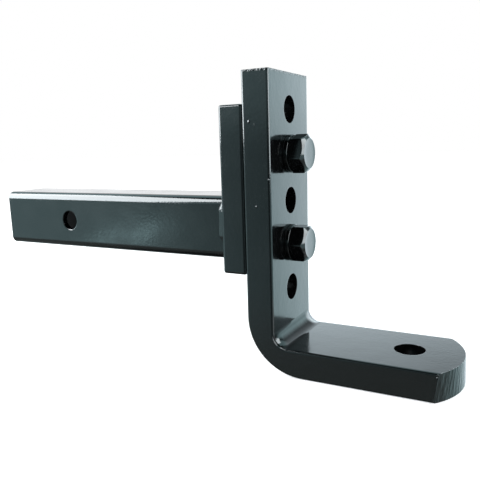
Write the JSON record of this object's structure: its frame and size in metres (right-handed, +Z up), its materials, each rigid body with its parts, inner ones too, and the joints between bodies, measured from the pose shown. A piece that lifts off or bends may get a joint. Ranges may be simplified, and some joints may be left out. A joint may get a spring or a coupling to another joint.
{
  "type": "tow ball mount",
  "caption": "Adjustable drop ball mount: hollow square shank welded to a plate, with a bent flat-bar tongue screwed on through its row of height holes.",
  "frame": {"origin": "middle of the hitch pin hole, on the shank's axis", "axes": "+X along the shank, from the receiver towards the ball; +Y across, along the hitch pin; +Z up, along the ball hole"},
  "size_m": [0.426, 0.075, 0.229],
  "materials": {
    "black_paint": "glossy black paint",
    "black_washer": "satin black",
    "black_bolt": "glossy black"
  },
  "bodies": {
    "mount": {"shank": "black_paint", "shank_weld": "black_paint", "adapter_plate": "black_paint", "drop_tongue": "black_paint"},
    "upper_washer": {"upper_spring_washer": "black_washer"},
    "upper_screw": {"upper_bolt": "black_bolt"},
    "lower_washer": {"lower_spring_washer": "black_washer"},
    "lower_screw": {"lower_bolt": "black_bolt"}
  },
  "joints": [
    {"name": "upper_draw_out", "type": "slide", "parent": "mount", "child": "upper_washer", "axis": [1, 0, 0], "range_m": [0, 0.0176]},
    {"name": "upper_unscrew", "type": "hinge", "parent": "upper_washer", "child": "upper_screw", "pos_m": [0.2165, 0, 0.057], "axis": [1, 0, 0], "range_deg": [0, 2520]},
    {"name": "lower_draw_out", "type": "slide", "parent": "mount", "child": "lower_washer", "axis": [1, 0, 0], "range_m": [0, 0.0176]},
    {"name": "lower_unscrew", "type": "hinge", "parent": "lower_washer", "child": "lower_screw", "pos_m": [0.2165, 0, -0.013], "axis": [1, 0, 0], "range_deg": [0, 2520]}
  ],
  "couplings": [
    {"joint": "upper_draw_out", "follows": "upper_unscrew", "m_per_rad": 0.00039789},
    {"joint": "lower_draw_out", "follows": "lower_unscrew", "m_per_rad": 0.00039789}
  ]
}
